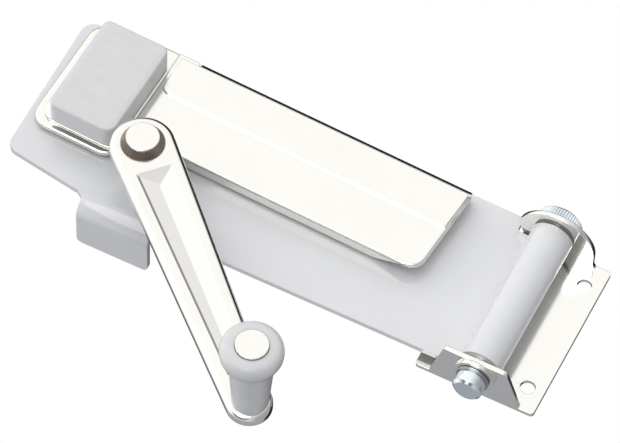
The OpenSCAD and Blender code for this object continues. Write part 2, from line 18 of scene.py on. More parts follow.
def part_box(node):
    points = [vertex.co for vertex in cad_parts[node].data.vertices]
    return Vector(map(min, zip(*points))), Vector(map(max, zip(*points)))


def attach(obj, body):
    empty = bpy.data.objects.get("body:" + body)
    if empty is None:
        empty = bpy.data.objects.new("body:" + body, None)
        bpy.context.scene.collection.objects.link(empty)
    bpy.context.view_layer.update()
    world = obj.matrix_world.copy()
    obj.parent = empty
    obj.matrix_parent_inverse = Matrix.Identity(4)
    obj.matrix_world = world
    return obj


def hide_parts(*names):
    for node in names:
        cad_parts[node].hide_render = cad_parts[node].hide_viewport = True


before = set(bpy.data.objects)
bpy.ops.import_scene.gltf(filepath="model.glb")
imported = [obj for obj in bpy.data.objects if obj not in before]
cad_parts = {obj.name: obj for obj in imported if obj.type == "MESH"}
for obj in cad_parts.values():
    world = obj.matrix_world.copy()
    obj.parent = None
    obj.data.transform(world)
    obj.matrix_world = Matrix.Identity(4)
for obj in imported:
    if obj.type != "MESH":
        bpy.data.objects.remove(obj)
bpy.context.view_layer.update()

LOG = logging.getLogger("can_opener")
MM = 0.001
BROAD = 30e-6  # square metres; a face larger than this is shaded flat
WELD = 0.0005  # mm; points of a CAD node nearer than this are one
FLAT = math.radians(0.4)  # facets of a CAD node that differ by less are one face
SHARP = math.radians(35)  # edges of a CAD node sharper than this are rounded

Colour = tuple[float, float, float]
Point = tuple[float, float, float]
Corner = tuple[float, float, float]


# ---------------------------------------------------------------- finishes


class Slot(Enum):
    """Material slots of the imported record."""

    ENAMEL = "enamel"
    NICKEL = "nickel"
    ZINC = "zinc"
    STEEL = "steel"
    DARK_STEEL = "dark_steel"
    MAGNET = "magnet"
    CAP = "white_plastic"
    KNOB = "knob_plastic"


class NodeSheet:
    """Builds one node tree, node by node."""

    def __init__(self, tree: bpy.types.NodeTree) -> None:
        """Clears the tree.

        Args:
            tree: the material's or world's node tree.
        """
        self.tree = tree
        tree.nodes.clear()

    def add(self, kind: str, inputs: dict | None = None, **settings: object) -> bpy.types.Node:
        """Adds a node and sets its fields and input values.

        Args:
            kind: node type without the ShaderNode prefix.
            inputs: input values or output sockets by input name or index.
            **settings: node fields.

        Returns:
            The new node.
        """
        node = self.tree.nodes.new("ShaderNode" + kind)
        for name, value in settings.items():
            setattr(node, name, value)
        for name, value in (inputs or {}).items():
            if isinstance(value, bpy.types.NodeSocket):
                self.tree.links.new(value, node.inputs[name])
            else:
                node.inputs[name].default_value = value
        return node

    def place(
        self, scale: Sequence[float] = (1, 1, 1), turn: Sequence[float] = (0, 0, 0)
    ) -> bpy.types.NodeSocket:
        """Object coordinates, stretched and turned.

        Args:
            scale: stretch along each axis.
            turn: Euler turn in radians.

        Returns:
            The vector socket.
        """
        where = self.add("TexCoord").outputs["Object"]
        mapping = self.add("Mapping", {"Vector": where})
        mapping.inputs["Scale"].default_value = scale
        mapping.inputs["Rotation"].default_value = turn
        return mapping.outputs["Vector"]

    def noise(self, vector: bpy.types.NodeSocket, scale: float, detail: float = 3.0) -> bpy.types.NodeSocket:
        """Smooth noise.

        Args:
            vector: where it is read.
            scale: cycles per metre.
            detail: octaves.

        Returns:
            The value socket.
        """
        node = self.add("TexNoise", {"Vector": vector, "Scale": scale, "Detail": detail, "Roughness": 0.55})
        return node.outputs["Fac"]

    def span(
        self, value: bpy.types.NodeSocket, source: Sequence[float], target: Sequence[float]
    ) -> bpy.types.NodeSocket:
        """Maps one range of values onto another.

        Args:
            value: the value to map.
            source: lowest and highest value read.
            target: lowest and highest value given.

        Returns:
            The mapped value socket.
        """
        ends = {"From Min": source[0], "From Max": source[1], "To Min": target[0], "To Max": target[1]}
        return self.add("MapRange", {"Value": value, **ends}).outputs["Result"]

    def tint(self, factor: bpy.types.NodeSocket, low: Colour | bpy.types.NodeSocket,
             high: Colour) -> bpy.types.NodeSocket:
        """Blends two colours.

        Args:
            factor: 0 for low, 1 for high.
            low: first colour, or the socket that gives it.
            high: second colour.

        Returns:
            The colour socket.
        """
        first = low if isinstance(low, bpy.types.NodeSocket) else (*low, 1)
        node = self.add("MixRGB", {"Fac": factor, "Color1": first, "Color2": (*high, 1)})
        return node.outputs["Color"]

    def bump(self, height: bpy.types.NodeSocket, depth: float, strength: float,
             normal: bpy.types.NodeSocket | None = None) -> bpy.types.NodeSocket:
        """Relief from a height.

        Args:
            height: height from 0 to 1.
            depth: distance in metres that a height of 1 stands for.
            strength: share of the relief that shows.
            normal: relief that this one is laid over.

        Returns:
            The normal socket.
        """
        inputs = {"Height": height, "Distance": depth, "Strength": strength}
        if normal is not None:
            inputs["Normal"] = normal
        return self.add("Bump", inputs).outputs["Normal"]

    def rounded(self, radius: float) -> bpy.types.NodeSocket:
        """Normals that turn softly over an edge.

        Args:
            radius: edge radius in metres.

        Returns:
            The normal socket.
        """
        return self.add("Bevel", {"Radius": radius}, samples=6).outputs["Normal"]


@dataclass(frozen=True)
class Finish:
    """A finish shared by several pieces."""

    name: str
    colour: Colour
    edge: float = 0.15

    def material(self) -> bpy.types.Material:
        """Makes the material, or returns the one made before."""
        found = bpy.data.materials.get(self.name)
        if found is None:
            found = bpy.data.materials.new(self.name)
            found.use_nodes = True
            self.dress(NodeSheet(found.node_tree))
        return found

    def dress(self, sheet: NodeSheet) -> None:
        """Fills the material's nodes.

        Args:
            sheet: the material's node sheet.
        """
        raise NotImplementedError

    def shaded(self, factor: float) -> Colour:
        """The colour, lighter or darker by a factor."""
        return tuple(min(1.0, c * factor) for c in self.colour)


@dataclass(frozen=True)
class Enamel(Finish):
    """Baked white enamel over steel: glossy, with a faint orange peel."""

    roughness: float = 0.16
    cloud_scale: float = 38.0
    peel_scale: float = 1150.0
    speck_scale: float = 150.0
    peel_depth: float = 0.00006

    def dress(self, sheet: NodeSheet) -> None:
        """Fills the material's nodes.

        Args:
            sheet: the material's node sheet.
        """
        here = sheet.place()
        cloud = sheet.noise(here, self.cloud_scale, 4)
        peel = sheet.noise(here, self.peel_scale, 2)
        cells = sheet.add("TexVoronoi", {"Vector": here, "Scale": self.speck_scale}, feature="F1")
        specks = cells.outputs["Distance"]
        speck = sheet.span(specks, (0.02, 0.05), (0.35, 0.0))
        colour = sheet.tint(sheet.span(cloud, (0.35, 0.65), (0, 1)), self.shaded(0.975), self.shaded(1.01))
        colour = sheet.tint(speck, colour, self.shaded(0.86))
        rough = sheet.span(cloud, (0.3, 0.7), (self.roughness * 0.8, self.roughness * 1.3))
        normal = sheet.bump(peel, self.peel_depth, 0.35, sheet.rounded(self.edge * MM))
        shader = sheet.add("BsdfPrincipled", {"Base Color": colour, "Roughness": rough, "Normal": normal})
        shader.inputs["IOR"].default_value = 1.5
        shader.inputs["Coat Weight"].default_value = 0.35
        shader.inputs["Coat Roughness"].default_value = 0.06
        sheet.add("OutputMaterial", {"Surface": shader.outputs["BSDF"]})


@dataclass(frozen=True)
class Metal(Finish):
    """Plated or bare metal with a drawn grain, soft clouds and fine scuffs."""

    roughness: float = 0.16
    grain: Sequence[float] = (1.0, 1.0, 1.0)
    grain_depth: float = 0.0
    scuffs: float = 0.35
    tarnish: Colour = (0.62, 0.55, 0.45)
    cloud_scale: float = 55.0
    grain_scale: float = 2600.0
    scuff_scale: float = 420.0
    stain_scale: float = 120.0

    def dress(self, sheet: NodeSheet) -> None:
        """Fills the material's nodes.

        Args:
            sheet: the material's node sheet.
        """
        here = sheet.place()
        cloud = sheet.noise(here, self.cloud_scale, 4)
        fine = sheet.noise(sheet.place(self.grain), self.grain_scale, 3)
        scuff = sheet.noise(sheet.place((1, 1, 7), (0.3, 0.9, 0.2)), self.scuff_scale, 5)
        worn = sheet.span(scuff, (0.58, 0.72), (0, self.scuffs))
        stain = sheet.span(sheet.noise(here, self.stain_scale, 6), (0.66, 0.9), (0, 0.16))
        colour = sheet.tint(sheet.span(cloud, (0.3, 0.7), (0, 1)), self.shaded(0.965), self.shaded(1.0))
        colour = sheet.tint(stain, colour, self.tarnish)
        rough = sheet.span(cloud, (0.3, 0.7), (self.roughness * 0.75, self.roughness * 1.25))
        worn = sheet.span(worn, (0, 1), (0, 0.22))
        rough = sheet.add("Math", {0: rough, 1: worn}, operation="ADD").outputs["Value"]
        normal = sheet.bump(fine, 0.00002, 0.12 + self.grain_depth, sheet.rounded(self.edge * MM))
        normal = sheet.bump(cloud, 0.0006, 0.02, normal)
        shader = sheet.add("BsdfPrincipled", {"Base Color": colour, "Roughness": rough, "Normal": normal})
        shader.inputs["Metallic"].default_value = 1.0
        sheet.add("OutputMaterial", {"Surface": shader.outputs["BSDF"]})


@dataclass(frozen=True)
class Moulded(Finish):
    """Moulded plastic or ceramic with a satin skin."""

    roughness: float = 0.32
    skin: float = 0.1
    cloud_scale: float = 70.0
    skin_scale: float = 1900.0
    flow_scale: float = 160.0

    def dress(self, sheet: NodeSheet) -> None:
        """Fills the material's nodes.

        Args:
            sheet: the material's node sheet.
        """
        here = sheet.place()
        cloud = sheet.noise(here, self.cloud_scale, 4)
        skin = sheet.noise(here, self.skin_scale, 3)
        flow = sheet.noise(sheet.place((1, 1, 3)), self.flow_scale, 3)
        colour = sheet.tint(sheet.span(flow, (0.35, 0.65), (0, 1)), self.shaded(0.975), self.shaded(1.01))
        rough = sheet.span(cloud, (0.3, 0.7), (self.roughness * 0.85, self.roughness * 1.2))
        normal = sheet.bump(skin, 0.00004, self.skin, sheet.rounded(self.edge * MM))
        shader = sheet.add("BsdfPrincipled", {"Base Color": colour, "Roughness": rough, "Normal": normal})
        shader.inputs["IOR"].default_value = 1.49
        shader.inputs["Subsurface Weight"].default_value = 0.06
        shader.inputs["Subsurface Radius"].default_value = (0.002, 0.002, 0.002)
        shader.inputs["Subsurface Scale"].default_value = 0.5
        sheet.add("OutputMaterial", {"Surface": shader.outputs["BSDF"]})


FINISHES: dict[Slot, Finish] = {
    Slot.ENAMEL: Enamel("white_enamel", (0.90, 0.905, 0.92), edge=0.35),
    Slot.NICKEL: Metal("nickel_plate", (0.87, 0.855, 0.815), edge=0.3, roughness=0.13),
    Slot.ZINC: Metal("zinc_plate", (0.80, 0.86, 0.90), edge=0.25, roughness=0.2, tarnish=(0.66, 0.68, 0.62)),
    Slot.STEEL: Metal(
        "ground_steel", (0.64, 0.64, 0.63), edge=0.2, roughness=0.26, grain=(1, 1, 9), grain_depth=0.1
    ),
    Slot.DARK_STEEL: Metal(
        "hardened_steel", (0.42, 0.42, 0.43), edge=0.2, roughness=0.3, tarnish=(0.28, 0.22, 0.17)
    ),
    Slot.MAGNET: Metal("magnet_grey", (0.30, 0.30, 0.31), edge=0.3, roughness=0.42, scuffs=0.8),
    Slot.CAP: Moulded("cap_plastic", (0.84, 0.84, 0.845), edge=0.3),
    Slot.KNOB: Moulded("knob_ceramic", (0.84, 0.84, 0.845), edge=0.3, roughness=0.24, skin=0.05),
}
# A darker copy of the nickel plate for the nut's knurled skirt: painted shade standing in for the fine knurl
# grooves.
KNURL_SHADE = Metal("nickel_painted_knurl_shade", (0.36, 0.31, 0.26), edge=0.1, roughness=0.34)


# ---------------------------------------------------------------- forms


def front_frame(x: float, z: float, level: float = 0.0, turn: float = 0.0) -> Matrix:
    """Frame that looks into the room: local X runs right, local Y up, local Z out of the wall.

    Args:
        x: place of the origin along X, mm.
        z: height of the origin, mm.
        level: distance of the origin in front of the wall, mm.
        turn: turn of local X towards down, degrees.

    Returns:
        The matrix from local millimetres to the scene's frame in metres.
    """
    c, s = math.cos(math.radians(turn)), math.sin(math.radians(turn))
    basis = Matrix(((c, s, 0, x), (0, 0, -1, -level), (-s, c, 0, z), (0, 0, 0, 1)))
    return Matrix.Scale(MM, 4) @ basis


class Form:
    """A shape in the making, in local millimetres."""

    def __init__(self) -> None:
        """Starts an empty shape."""
        self.mesh = bmesh.new()

    def outline(self, corners: Sequence[Corner], level: float = 0.0, steps: int = 6) -> bmesh.types.BMFace:
        """A flat face whose corners are rounded.

        Args:
            corners: x, y and radius of each corner, in order.
            level: height of the face.
            steps: segments of each rounded corner.

        Returns:
            The face.
        """
        bm = self.mesh
        before = set(bm.faces)
        verts = [bm.verts.new((x, y, level)) for x, y, _ in corners]
        bm.faces.new(verts)
        count = len(corners)
        for i, (x, y, radius) in enumerate(corners):
            if radius <= 0:
                continue
            here = Vector((x, y))
            back = (Vector(corners[i - 1][:2]) - here).normalized()
            ahead = (Vector(corners[(i + 1) % count][:2]) - here).normalized()
            reach = radius / math.tan(back.angle(ahead) / 2)
            bmesh.ops.bevel(bm, geom=[verts[i]], offset=reach, offset_type="OFFSET", affect="VERTICES",
                            segments=steps, profile=0.5, material=-1, clamp_overlap=False)
        return next(f for f in bm.faces if f not in before)

    def raise_faces(self, faces: Iterable[bmesh.types.BMFace], height: float) -> list[bmesh.types.BMFace]:
        """Pushes faces along local Z and walls in the gap.

        Args:
            faces: the faces to push.
            height: distance along local Z.

        Returns:
            The pushed faces.
        """
        made = bmesh.ops.extrude_face_region(self.mesh, geom=list(faces))
        moved = [g for g in made["geom"] if isinstance(g, bmesh.types.BMVert)]
        bmesh.ops.translate(self.mesh, verts=moved, vec=(0, 0, height))
        return [g for g in made["geom"] if isinstance(g, bmesh.types.BMFace)]

    def inset(self, faces: Iterable[bmesh.types.BMFace], width: float, depth: float = 0.0) -> None:
        """Insets faces as one region.

        Args:
            faces: the faces.
            width: width of the new rim.
            depth: rise of the inner face.
        """
        bmesh.ops.inset_region(self.mesh, faces=list(faces), thickness=width, depth=depth,
                               use_boundary=True, use_even_offset=True)

    def round_edges(
        self, chosen: Callable[[bmesh.types.BMEdge], bool], radius: float, steps: int = 3
    ) -> None:
        """Rounds the edges that a test picks.

        Args:
            chosen: test of one edge.
            radius: width of the rounding.
            steps: segments across it.
        """
        edges = [e for e in self.mesh.edges if len(e.link_faces) == 2 and chosen(e)]
        bmesh.ops.bevel(self.mesh, geom=edges, offset=radius, offset_type="OFFSET", affect="EDGES",
                        segments=steps, profile=0.5, material=-1, clamp_overlap=True, loop_slide=True)

    def shoulder(self, faces: Iterable[bmesh.types.BMFace], radius: float, steps: int = 6) -> None:
        """Raises a flat face over a quarter-round edge.

        Args:
            faces: the face, as one region.
            radius: radius of the edge.
            steps: segments across it.
        """
        region = list(faces)
        for step in range(steps):
            low, high = (math.pi / 2 * k / steps for k in (step, step + 1))
            width = radius * (math.cos(low) - math.cos(high))
            self.inset(region, width, radius * (math.sin(high) - math.sin(low)))

    def lathe(self, profile: Sequence[tuple[float, float]], steps: int = 96) -> None:
        """Turns a profile about local Z.

        Args:
            profile: radius and height of each point.
            steps: segments of the turn.
        """
        bm = self.mesh
        verts = [bm.verts.new((r, 0, h)) for r, h in profile]
        edges = [bm.edges.new(pair) for pair in zip(verts, verts[1:])]
        bmesh.ops.spin(bm, geom=verts + edges, cent=(0, 0, 0), axis=(0, 0, 1), angle=math.tau,
                       steps=steps, use_merge=True, use_duplicate=False)
        bmesh.ops.remove_doubles(bm, verts=bm.verts[:], dist=1e-4)

    def absorb(self, other: "Form") -> None:
        """Takes in another shape and frees it.

        Args:
            other: the shape to take in.
        """
        data = bpy.data.meshes.new("loan")
        other.mesh.to_mesh(data)
        self.mesh.from_mesh(data)
        bpy.data.meshes.remove(data)
        other.mesh.free()

    def close(self) -> None:
        """Merges doubles and turns every face outwards."""
        bmesh.ops.remove_doubles(self.mesh, verts=self.mesh.verts[:], dist=1e-4)
        bmesh.ops.recalc_face_normals(self.mesh, faces=self.mesh.faces[:])

    def piece(self, name: str, place: Matrix, crease: float = 32.0) -> bpy.types.Object:
        """Turns the shape into an object of the scene.

        Args:
            name: name of the piece.
            place: matrix from local millimetres to the scene's frame in metres.
            crease: angle in degrees past which an edge stays sharp.

        Returns:
            The object.
        """
        bmesh.ops.transform(self.mesh, matrix=place, verts=self.mesh.verts[:])
        limit = math.radians(crease)
        for face in self.mesh.faces:
            face.smooth = face.calc_area() < BROAD
        for edge in self.mesh.edges:
            edge.smooth = edge.calc_face_angle(math.pi) < limit
        data = bpy.data.meshes.new(name)
        self.mesh.to_mesh(data)
        self.mesh.free()
        made = bpy.data.objects.new(name, data)
        bpy.context.scene.collection.objects.link(made)
        return made


@dataclass
class Part:
    """A sub-assembly: builds its pieces and gives them their finish."""

    body: str

    def show(self, piece: bpy.types.Object, slot: Slot, nodes: Sequence[str]) -> None:
        """Dresses a new piece and puts it in place of CAD nodes.

        Args:
            piece: the new piece.
            slot: slot of the record that it takes its finish from.
            nodes: CAD nodes that it stands for.
        """
        piece.data.materials.append(FINISHES[slot].material())
        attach(piece, self.body)
        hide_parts(*nodes)
        LOG.info("%s: %s faces on %s", piece.name, len(piece.data.polygons), self.body)

    def keep(self, node: str, slot: Slot) -> None:
        """Gives a CAD node its finish.

        Args:
            node: name of the CAD node.
            slot: slot of the record.
        """
        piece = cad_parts[node]
        piece.data.materials.clear()
        piece.data.materials.append(FINISHES[slot].material())
        LOG.info("%s: finish %s", node, slot.value)

    def soften(self, node: str, slot: Slot, radius: float, steps: int = 2) -> None:
        """Replaces a CAD node by a copy of it with rounded edges.

        Args:
            node: name of the CAD node.
            slot: slot of the record.
            radius: edge rounding, mm.
            steps: segments of the rounding.
        """
        form = Form()
        form.mesh.from_mesh(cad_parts[node].data)
        bmesh.ops.transform(form.mesh, matrix=Matrix.Scale(1 / MM, 4), verts=form.mesh.verts[:])
        bmesh.ops.remove_doubles(form.mesh, verts=form.mesh.verts[:], dist=WELD)
        bmesh.ops.dissolve_limit(form.mesh, angle_limit=FLAT, verts=form.mesh.verts[:],
                                 edges=form.mesh.edges[:], use_dissolve_boundaries=False)
        form.round_edges(lambda e: e.calc_face_angle(0) > SHARP, radius, steps)
        self.show(form.piece(node + "_formed", Matrix.Scale(MM, 4)), slot, [node])

    def build(self) -> None:
        """Builds every piece of the part."""
        raise NotImplementedError


# ---------------------------------------------------------------- parts


@dataclass
class WallBracket(Part):
    """Wall plate with two ears, the hinge pin and its ring."""

    body: str = "bracket"

    def build(self) -> None:
        """Builds every piece of the part."""
        self.soften("wall_bracket", Slot.NICKEL, 0.35)
        self.keep("hinge_pin", Slot.ZINC)
        self.keep("pin_retaining_ring", Slot.DARK_STEEL)


@dataclass
class Body(Part):
    """Enamelled body with its barrel and tab, the bushing, studs and magnet."""

    body: str = "body"

    def build(self) -> None:
        """Builds every piece of the part."""
        self.soften("body_frame", Slot.ENAMEL, 0.3)
        for node, slot in (
            ("shaft_bushing", Slot.STEEL), ("lever_pivot_stud", Slot.STEEL), ("pivot_spacer", Slot.STEEL),
            ("pivot_back_washer", Slot.ZINC), ("magnet_strap", Slot.NICKEL), ("lid_magnet", Slot.MAGNET),
            ("strap_rivets", Slot.ZINC), ("magnet_rivet", Slot.ZINC),
        ):
            self.keep(node, slot)


@dataclass
class Lever(Part):
    """Pressed lever with its cap, and the stud that carries the cutting wheel."""

    body: str = "lever"
    pivot: tuple[float, float] = (-152.0, 10.4)
    tilt: float = 2.4
    front: float = 12.7
    sheet: float = 1.4
    length: float = 121.7
    top: float = 25.6
    low: float = 10.0
    slant: float = 1.8
    plain_top: float = 24.9
    flange_from: float = 20.0
    flange_depth: float = 5.4
    fold: float = 0.9
    lip: float = 2.3
    band_low: float = 8.8
    band_rise: float = 0.8
    pad_left: float = 18.8
    pad_low: float = 20.0
    pad_right: float = 12.9
    pad_step: float = 1.7
    rim: float = 2.6
    cap_w: float = 24.0
    cap_h: float = 38.4
    cap_t: float = 10.0
    cap_corners: tuple[float, float, float, float] = (3.0, 3.6, 2.8, 2.2)
    cap_edge: float = 0.75
    crown: float = 0.2

    def place(self, level: float) -> Matrix:
        """Frame on the lever's pivot, with local X along the lever."""
        return front_frame(*self.pivot, level, self.tilt)

    def face(self, form: Form) -> None:
        """Adds the flat face, with its edges right of the flanges' start rounded over.

        Args:
            form: the lever's shape.
        """
        sheet = form.outline([
            (self.pad_right, self.plain_top, 0),
            (self.flange_from, self.plain_top, 0),
            (self.flange_from + 0.6, self.top - self.lip, 0),
            (self.length, self.top - self.lip, 0),
            (self.length - self.slant, -self.low, 5),
            (self.pad_right, -self.low, 0),
        ])
        front = set(form.raise_faces([sheet], self.sheet))
        folded = self.flange_from + 0.5

        def is_fold(edge: bmesh.types.BMEdge) -> bool:
            """True for an edge of the front that lies right of where the flanges start."""
            shared = [f in front for f in edge.link_faces]
            at_front = any(shared) and not all(shared)
            return at_front and min(v.co.x for v in edge.verts) > folded - 0.2

        form.round_edges(is_fold, self.fold, 4)
        bmesh.ops.translate(form.mesh, verts=form.mesh.verts[:], vec=(0, 0, -self.sheet))

    def flange(self, form: Form, height: float, end: float) -> None:
        """Adds one turned-down edge, deep on the left and fading out on the right.

        Args:
            form: the lever's shape.
            height: outer face of the flange above the pivot.
            end: where the flange has faded out.
        """
        wall = Form()
        side = wall.outline([
            (self.flange_from, -0.4, 0),
            (end, -0.5, 0),
            (end - 1.0, -self.sheet, 0.8),
            (end - 12.0, -self.flange_depth, 7),
            (self.flange_from, -self.flange_depth, 1.5),
        ])
        wall.raise_faces([side], self.sheet)
        wall.close()
        wall.round_edges(
            lambda e: e.calc_face_angle(0) > 0.9 and abs(e.verts[0].co.z - e.verts[1].co.z) < 0.01, 0.35, 2
        )
        stand = Matrix(((1, 0, 0, 0), (0, 0, 1, height), (0, 1, 0, 0), (0, 0, 0, 1)))
        bmesh.ops.transform(wall.mesh, matrix=stand, verts=wall.mesh.verts[:])
        form.absorb(wall)

    def top_edge(self, form: Form) -> None:
        """Adds the top edge, sloped back and turned down into a flange.

        Args:
            form: the lever's shape.
        """
        bar = Form()
        section = bar.outline([
            (self.top - self.lip - 0.02, -self.sheet, 0),
            (self.top - self.sheet, -self.sheet - 0.6, 0),
            (self.top - self.sheet, -self.flange_depth, 0),
            (self.top, -self.flange_depth, 0),
            (self.top, -self.sheet, 0.5),
            (self.top - self.lip - 0.02, 0, 0.8),
        ], 0, 5)
        bar.raise_faces([section], self.length - self.flange_from - 1.4)
        bar.close()
        along = Matrix(((0, 0, 1, self.flange_from + 0.6), (1, 0, 0, 0), (0, 1, 0, 0), (0, 0, 0, 1)))
        bmesh.ops.transform(bar.mesh, matrix=along, verts=bar.mesh.verts[:])
        form.absorb(bar)

    def band(self, form: Form) -> None:
        """Adds the raised band along the upper half of the face.

        Args:
            form: the lever's shape.
        """
        raised = Form()
        left = self.pad_right + 1.2
        sheet = raised.outline([
            (left, self.band_low, 3),
            (self.length - self.slant / 2 - 0.9, self.band_low - 0.6, 0),
            (self.length - 0.8, self.top - self.lip, 1),
            (left, self.top - self.lip, 0),
        ], -0.1)
        front = set(raised.raise_faces([sheet], self.band_rise + 0.1))
        raised.round_edges(lambda e: sum(f in front for f in e.link_faces) == 1, 0.22, 3)
        form.absorb(raised)

    def pad(self, form: Form) -> None:
        """Adds the broad end as three stacked ledges with soft edges.

        Args:
            form: the lever's shape.
        """
        for step, drop in ((0, 2), (1, 1), (2, 0)):
            ledge = Form()
            inset = step * self.rim
            top = self.plain_top
            radius = 6 - inset / 2
            level = -drop * self.pad_step
            sheet = ledge.outline([
                (-self.pad_left + inset, -self.pad_low + inset, radius),
                (self.pad_right, -self.pad_low + inset, radius),
                (self.pad_right, top, 0),
                (-self.pad_left + inset, top, radius),
            ], level - self.sheet)
            front = set(ledge.raise_faces([sheet], self.sheet))
            ledge.round_edges(lambda e: sum(f in front for f in e.link_faces) == 1, 0.8, 4)
            form.absorb(ledge)

    def lever(self) -> bpy.types.Object:
        """The pressed lever.

        Returns:
            The lever.
        """
        form = Form()
        self.face(form)
        self.flange(form, -self.low, self.length - 6.0)
        self.top_edge(form)
        self.band(form)
        self.pad(form)
        form.close()
        return form.piece("lever_pressed", self.place(self.front), 40)

    def cap(self) -> bpy.types.Object:
        """The moulded cap, slightly crowned, with a soft edge.

        Returns:
            The cap.
        """
        form = Form()
        w, h = self.cap_w / 2, self.cap_h / 2
        low_left, low_right, top_right, top_left = self.cap_corners
        corners = [(-w, -h, low_left), (w, -h, low_right), (w, h, top_right), (-w, h, top_left)]
        base = form.outline(corners, 0, 12)
        front = form.raise_faces([base], self.cap_t - self.cap_edge - self.crown)
        form.shoulder(front, self.cap_edge, 8)
        for width, rise in ((0.3, 0.35), (0.5, 0.4), (0.5, 0.25)):
            form.inset(front, width, rise * self.crown)
        low = [v for v in form.mesh.verts if v.co.z < 0.01]
        foot = {e for v in low for e in v.link_edges if all(abs(u.co.z) < 0.01 for u in e.verts)}
        form.round_edges(lambda e: e in foot, 0.7, 3)
        form.close()
        return form.piece("lever_cap_moulded", self.place(self.front), 50)

    def build(self) -> None:
        """Builds every piece of the part."""
        self.show(self.lever(), Slot.NICKEL, ["lever"])
        self.show(self.cap(), Slot.CAP, ["lever_cap"])
        for node, slot in (
            ("cutter_stud", Slot.STEEL), ("cutter_sleeve", Slot.ZINC), ("cutter_screw", Slot.ZINC),
        ):
            self.keep(node, slot)


@dataclass
class Cutter(Part):
    """Free-running cutting wheel."""

    body: str = "cutter"

    def build(self) -> None:
        """Builds every piece of the part."""
        self.keep("cutter_wheel", Slot.DARK_STEEL)


